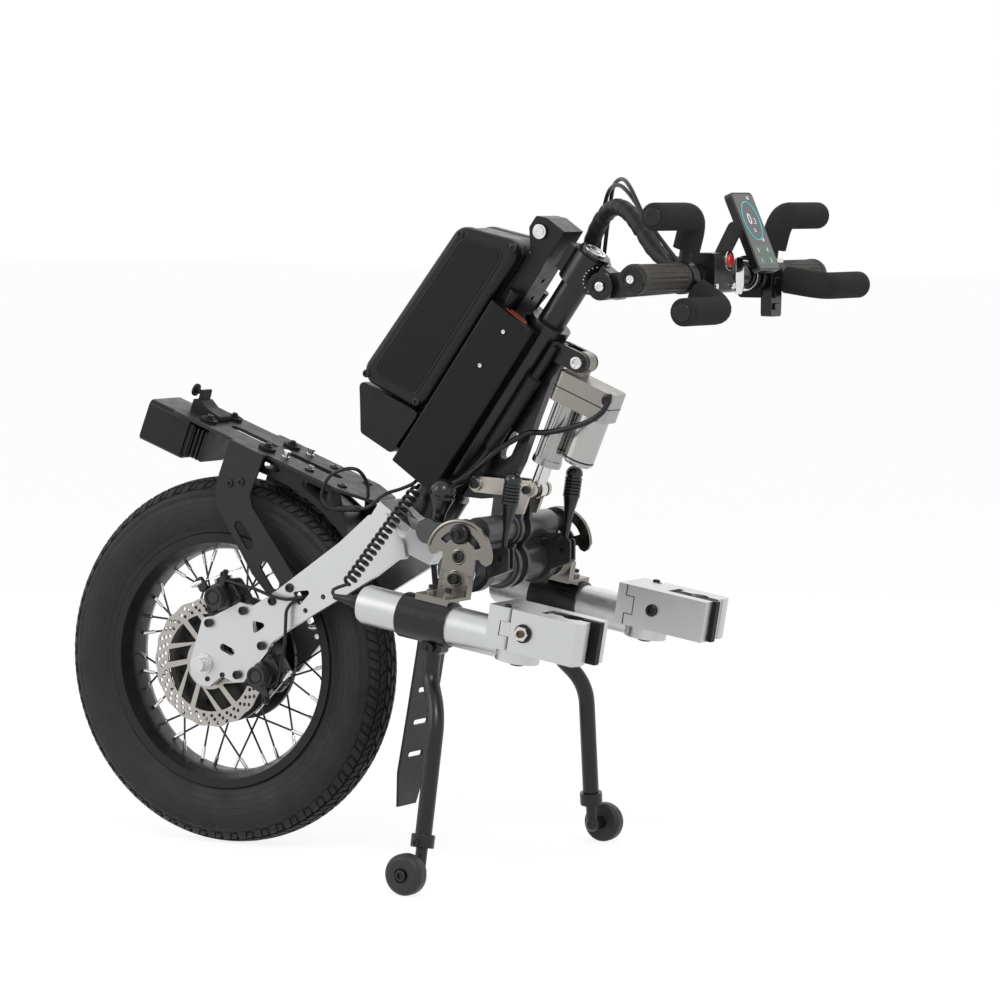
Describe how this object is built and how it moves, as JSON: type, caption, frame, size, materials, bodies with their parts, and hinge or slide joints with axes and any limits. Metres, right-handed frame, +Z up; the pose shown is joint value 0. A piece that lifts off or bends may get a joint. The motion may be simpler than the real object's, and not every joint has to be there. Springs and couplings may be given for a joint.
{
  "type": "wheelchair power assist",
  "caption": "Clamp-on electric front wheel for a manual wheelchair with fork, hub motor, tilting battery, lift actuator, adjustable clamps, roller stands and a tetra handlebar.",
  "frame": {"origin": "on the ground, below the middle of the part's bounding box", "axes": "+X forward over the wheel, +Y to the rider's left, +Z up"},
  "size_m": [0.9894, 0.5214, 0.8319],
  "materials": {
    "tyre_rubber": "matte moulded rubber",
    "black_alloy": "satin black coating",
    "spoke_black": "black spokes with silver nipples",
    "disc_steel": "ground steel",
    "bolt_steel": "plated",
    "silver_alloy": "bead blasted",
    "powder_black": "fine powder coat",
    "black_plastic": "fine grain",
    "gloss_black": "smooth",
    "lens": "clear",
    "grip_rubber": "ribbed rubber",
    "foam": "closed foam",
    "red_plastic": "smooth",
    "cable_sheath": "soft sheath",
    "actuator_cast": "cast and painted",
    "motor_silver": "drawn can",
    "beam_grey": "dark metallic coat",
    "stainless": "brushed sheet",
    "crank_beige": "satin",
    "pad_rubber": "moulded",
    "roller_grey": "cast polyurethane",
    "lock_steel": "polished"
  },
  "bodies": {
    "frame": {"head_tube": "powder_black", "gusset_frame": "powder_black", "controller_box": "powder_black", "battery_dock": "black_plastic", "battery_rail": "black_plastic", "wiring_loom": "cable_sheath", "coil_cord": "cable_sheath"},
    "battery": {"battery_case": "black_plastic"},
    "key": {"key_cylinder": "lock_steel"},
    "actuator": {"actuator_housing": "actuator_cast", "actuator_motor": "motor_silver"},
    "rod": {"actuator_rod": "bolt_steel"},
    "beam": {"cross_beam": "beam_grey", "crank_bars": "crank_beige", "width_clamps": "powder_black"},
    "arm_left": {"inner_arm_left": "silver_alloy"},
    "arm_right": {"inner_arm_right": "silver_alloy"},
    "width_lever_left": {"width_lever_left": "black_plastic"},
    "width_lever_right": {"width_lever_right": "black_plastic"},
    "angle_lever": {"angle_lever": "black_plastic"},
    "clamp_left": {"angle_plate_left": "stainless", "clamp_left": "silver_alloy", "pad_left": "pad_rubber", "leg_left": "powder_black"},
    "clamp_right": {"angle_plate_right": "stainless", "clamp_right": "silver_alloy", "pad_right": "pad_rubber", "leg_right": "powder_black"},
    "jaw_left": {"jaw_left": "silver_alloy"},
    "jaw_right": {"jaw_right": "silver_alloy"},
    "foot_left": {"foot_left": "powder_black"},
    "foot_right": {"foot_right": "powder_black"},
    "roller_left": {"roller_left": "roller_grey"},
    "roller_right": {"roller_right": "roller_grey"},
    "steering": {"axle": "bolt_steel", "fork_arm_left": "silver_alloy", "fork_arm_right": "silver_alloy", "fork_crown": "silver_alloy", "brake_calipers": "black_alloy", "rack": "powder_black", "rack_fittings": "black_plastic", "headlight_housing": "black_plastic", "headlight_lens": "lens", "mudguards": "gloss_black", "stem_base": "powder_black", "lamp_cord": "cable_sheath"},
    "wheel": {"tyre": "tyre_rubber", "rim": "black_alloy", "spokes": "spoke_black", "hub_motor": "black_alloy", "brake_disc": "disc_steel"},
    "bar": {"stem_arm": "powder_black", "handlebar": "black_alloy", "grips": "grip_rubber", "display": "gloss_black", "control_pods": "black_plastic", "handlebar_cables": "cable_sheath"},
    "button": {"red_button": "red_plastic"},
    "brake_handle": {"brake_handle": "foam"},
    "throttle_handle": {"throttle_handle": "foam"}
  },
  "joints": [
    {"name": "steering_turn", "type": "hinge", "parent": "frame", "child": "steering", "pos_m": [-0.11842, 0, 0.57056], "axis": [-0.5678, 0, 0.8231], "range_deg": [-35, 35], "deforming": ["lamp_cord", "coil_cord"]},
    {"name": "wheel_spin", "type": "hinge", "parent": "steering", "child": "wheel", "pos_m": [0.26625, 0, 0.2285], "axis": [0, 1, 0], "continuous": true},
    {"name": "lift", "type": "hinge", "parent": "frame", "child": "beam", "pos_m": [-0.08975, 0, 0.463], "axis": [0, 1, 0], "range_deg": [0, 12], "deforming": ["coil_cord"]},
    {"name": "actuator_tilt", "type": "hinge", "parent": "frame", "child": "actuator", "pos_m": [-0.22275, 0, 0.612], "axis": [0, 1, 0], "range_deg": [-2.5, 0], "deforming": ["wiring_loom"]},
    {"name": "rod_slide", "type": "slide", "parent": "actuator", "child": "rod", "axis": [-0.3756, 0, 0.9268], "range_m": [0, 0.0136]},
    {"name": "left_width", "type": "slide", "parent": "beam", "child": "arm_left", "axis": [0, 1, 0], "range_m": [0, 0.04], "deforming": ["coil_cord"]},
    {"name": "right_width", "type": "slide", "parent": "beam", "child": "arm_right", "axis": [0, -1, 0], "range_m": [0, 0.04]},
    {"name": "left_width_lever", "type": "hinge", "parent": "beam", "child": "width_lever_left", "pos_m": [-0.15775, 0.0773, 0.3805], "axis": [0, -1, 0], "range_deg": [0, 90]},
    {"name": "right_width_lever", "type": "hinge", "parent": "beam", "child": "width_lever_right", "pos_m": [-0.15775, -0.0773, 0.3805], "axis": [0, -1, 0], "range_deg": [0, 90]},
    {"name": "angle_lock", "type": "hinge", "parent": "arm_left", "child": "angle_lever", "pos_m": [-0.07975, 0.1, 0.4125], "axis": [0, 1, 0], "range_deg": [0, 60]},
    {"name": "left_angle", "type": "hinge", "parent": "arm_left", "child": "clamp_left", "pos_m": [-0.12575, 0.124, 0.3845], "axis": [0, 1, 0], "range_deg": [-15, 15], "deforming": ["coil_cord"]},
    {"name": "right_angle", "type": "hinge", "parent": "arm_right", "child": "clamp_right", "pos_m": [-0.12575, -0.124, 0.3845], "axis": [0, 1, 0], "range_deg": [-15, 15]},
    {"name": "left_jaw", "type": "hinge", "parent": "clamp_left", "child": "jaw_left", "pos_m": [-0.22361, 0.189, 0.312], "axis": [0.1564, 0, -0.9877], "range_deg": [0, 10]},
    {"name": "right_jaw", "type": "hinge", "parent": "clamp_right", "child": "jaw_right", "pos_m": [-0.22361, -0.189, 0.312], "axis": [-0.1564, 0, 0.9877], "range_deg": [0, 10]},
    {"name": "left_foot", "type": "slide", "parent": "clamp_left", "child": "foot_left", "axis": [0.0258, 0.1675, -0.9855], "range_m": [0, 0.05]},
    {"name": "right_foot", "type": "slide", "parent": "clamp_right", "child": "foot_right", "axis": [0.0258, -0.1675, -0.9855], "range_m": [0, 0.05]},
    {"name": "left_roller", "type": "hinge", "parent": "foot_left", "child": "roller_left", "pos_m": [-0.12803, 0.21667, 0.0245], "axis": [0, 1, 0], "continuous": true},
    {"name": "right_roller", "type": "hinge", "parent": "foot_right", "child": "roller_right", "pos_m": [-0.12803, -0.21667, 0.0245], "axis": [0, 1, 0], "continuous": true},
    {"name": "stem_tilt", "type": "hinge", "parent": "steering", "child": "bar", "pos_m": [-0.25728, 0, 0.70317], "axis": [0, 1, 0], "range_deg": [-20, 20], "deforming": ["handlebar_cables"]},
    {"name": "brake_twist", "type": "hinge", "parent": "bar", "child": "brake_handle", "pos_m": [-0.40975, 0.115, 0.718], "axis": [0, 1, 0], "range_deg": [-20, 20], "stiffness_Nm_per_rad": 6},
    {"name": "throttle_twist", "type": "hinge", "parent": "bar", "child": "throttle_handle", "pos_m": [-0.40975, -0.115, 0.718], "axis": [0, 1, 0], "range_deg": [-20, 20], "stiffness_Nm_per_rad": 6},
    {"name": "button_press", "type": "slide", "parent": "bar", "child": "button", "axis": [1, 0, 0], "range_m": [0, 0.0025], "stiffness_N_per_m": 1500},
    {"name": "battery_tilt", "type": "hinge", "parent": "frame", "child": "battery", "pos_m": [0.06577, 0, 0.58708], "axis": [0, 1, 0], "range_deg": [0, 20]},
    {"name": "key_turn", "type": "hinge", "parent": "frame", "child": "key", "pos_m": [-0.1759, 0.028, 0.76659], "axis": [0, 1, 0], "range_deg": [0, 90]}
  ],
  "couplings": [
    {"joint": "actuator_tilt", "follows": "lift", "ratio": -0.197},
    {"joint": "rod_slide", "follows": "lift", "m_per_rad": 0.064}
  ]
}
